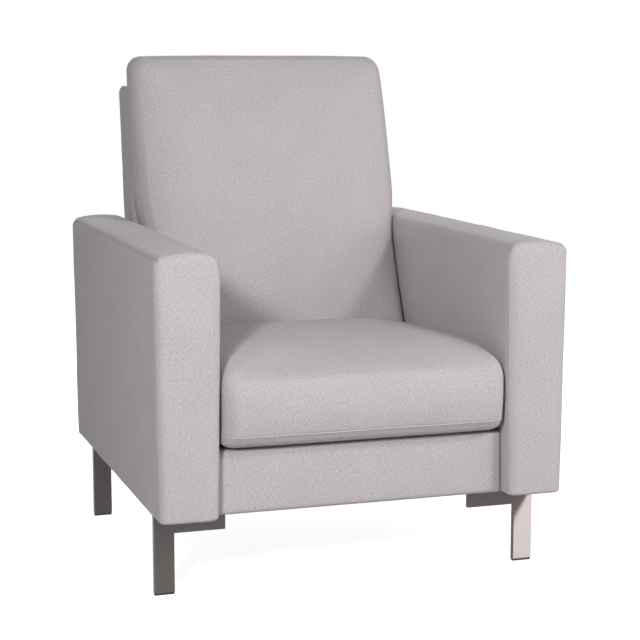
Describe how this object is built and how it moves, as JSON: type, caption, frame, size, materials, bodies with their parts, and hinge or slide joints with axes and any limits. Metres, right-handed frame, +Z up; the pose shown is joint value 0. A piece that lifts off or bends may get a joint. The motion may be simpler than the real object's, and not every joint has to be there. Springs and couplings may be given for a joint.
{
  "type": "upholstered armchair",
  "caption": "Upholstered armchair with full-depth box arms, a loose rolled-front seat cushion, a tall leaning back cushion and L-shaped flat steel legs.",
  "frame": {"origin": "on the floor under the middle of the chair's overall width and depth", "axes": "+Z up, -Y the way the sitter faces, +X to the right as seen from the front"},
  "size_m": [0.8096, 0.922, 1.02],
  "materials": {
    "upholstery": "matte",
    "foam": "matte",
    "timber": "matte",
    "plywood": "matte",
    "hardboard": "matte",
    "felt": "matte",
    "webbing": "matte",
    "dust_cloth": "matte",
    "leg_steel": "satin",
    "glide_plastic": "matte",
    "spring_steel": "satin",
    "zinc_steel": "satin"
  },
  "bodies": {
    "chair": {"left_arm_cover": "upholstery", "right_arm_cover": "upholstery", "back_cushion_cover": "upholstery", "back_shell_cover": "upholstery", "front_rail_cover": "upholstery", "left_arm_padding": "foam", "right_arm_padding": "foam", "back_cushion_core": "foam", "back_shell_padding": "foam", "left_arm_bottom_rail": "timber", "left_arm_top_rail": "timber", "left_arm_front_post": "timber", "left_arm_rear_post": "timber", "left_side_rail": "timber", "left_back_post": "timber", "right_arm_bottom_rail": "timber", "right_arm_top_rail": "timber", "right_arm_front_post": "timber", "right_arm_rear_post": "timber", "right_side_rail": "timber", "right_back_post": "timber", "front_rail": "timber", "rear_rail": "timber", "corner_blocks": "timber", "back_bottom_rail": "timber", "back_top_rail": "timber", "left_arm_inner_board": "plywood", "right_arm_inner_board": "plywood", "left_arm_outer_board": "hardboard", "right_arm_outer_board": "hardboard", "seat_deck": "felt", "back_webbing": "webbing", "dust_cover": "dust_cloth", "front_left_leg": "leg_steel", "front_right_leg": "leg_steel", "rear_left_leg": "leg_steel", "rear_right_leg": "leg_steel", "leg_glides": "glide_plastic", "seat_springs": "spring_steel", "spring_clips": "spring_steel", "leg_screws": "zinc_steel", "arm_bolts": "zinc_steel", "arm_inserts": "zinc_steel", "back_bolts": "zinc_steel", "back_inserts": "zinc_steel"},
    "seat_cushion": {"seat_cushion_cover": "upholstery", "seat_cushion_core": "foam"}
  },
  "joints": [
    {"name": "seat_cushion_lift", "type": "slide", "parent": "chair", "child": "seat_cushion", "axis": [0, 0, 1], "range_m": [0, 0.38]}
  ]
}
